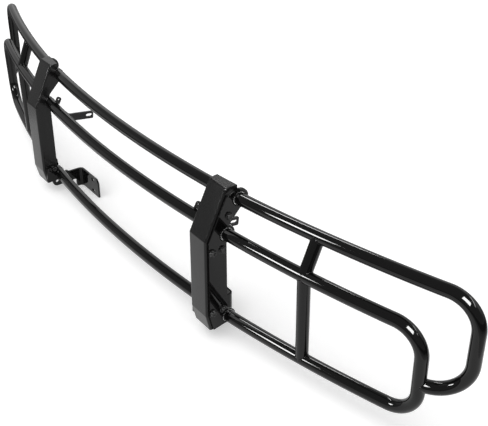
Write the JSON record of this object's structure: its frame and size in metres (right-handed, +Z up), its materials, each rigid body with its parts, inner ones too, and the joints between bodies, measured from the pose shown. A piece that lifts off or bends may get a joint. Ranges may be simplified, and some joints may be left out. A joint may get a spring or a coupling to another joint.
{
  "type": "front grille guard",
  "caption": "Tubular front grille guard: bowed centre tubes between folded sheet uprights, looped headlamp wings bolted on plates, slotted frame brackets and support straps.",
  "frame": {"origin": "midway between the two frame brackets, on the plane of their rear mounting faces, at the mid-height between their slots", "axes": "+X across the vehicle, to the right as the guard is seen from the front; +Y rearward into the vehicle; +Z up"},
  "size_m": [1.9238, 0.2086, 0.3602],
  "materials": {
    "satin_black": "satin black powder coat on steel",
    "gloss_black": "gloss black powder coat on steel",
    "black_zinc": "black zinc plated fastener"
  },
  "bodies": {
    "root": {"bracket_bolt_front_left": "black_zinc", "bracket_bolt_front_right": "black_zinc", "bracket_bolt_rear_left": "black_zinc", "bracket_bolt_rear_right": "black_zinc", "bracket_nut_front_left": "black_zinc", "bracket_nut_front_right": "black_zinc", "bracket_nut_rear_left": "black_zinc", "bracket_nut_rear_right": "black_zinc", "centre_tube_low": "gloss_black", "centre_tube_mid": "gloss_black", "centre_tube_top": "gloss_black", "frame_bracket_left": "gloss_black", "frame_bracket_right": "gloss_black", "support_strap_left": "satin_black", "support_strap_right": "satin_black", "tube_tab_left": "satin_black", "tube_tab_right": "satin_black", "upright_left": "satin_black", "upright_right": "satin_black", "wing_bolt_low_front_left": "black_zinc", "wing_bolt_low_front_right": "black_zinc", "wing_bolt_low_rear_left": "black_zinc", "wing_bolt_low_rear_right": "black_zinc", "wing_bolt_mid_front_left": "black_zinc", "wing_bolt_mid_front_right": "black_zinc", "wing_bolt_mid_rear_left": "black_zinc", "wing_bolt_mid_rear_right": "black_zinc", "wing_bolt_top_left": "black_zinc", "wing_bolt_top_right": "black_zinc", "wing_hoop_left": "gloss_black", "wing_hoop_right": "gloss_black", "wing_loop_left": "gloss_black", "wing_loop_right": "gloss_black", "wing_nut_low_front_left": "black_zinc", "wing_nut_low_front_right": "black_zinc", "wing_nut_low_rear_left": "black_zinc", "wing_nut_low_rear_right": "black_zinc", "wing_nut_mid_front_left": "black_zinc", "wing_nut_mid_front_right": "black_zinc", "wing_nut_mid_rear_left": "black_zinc", "wing_nut_mid_rear_right": "black_zinc", "wing_nut_top_left": "black_zinc", "wing_nut_top_right": "black_zinc", "wing_plate_left": "gloss_black", "wing_plate_right": "gloss_black", "wing_post_lower_left": "gloss_black", "wing_post_lower_right": "gloss_black", "wing_post_upper_left": "gloss_black", "wing_post_upper_right": "gloss_black"}
  },
  "joints": []
}
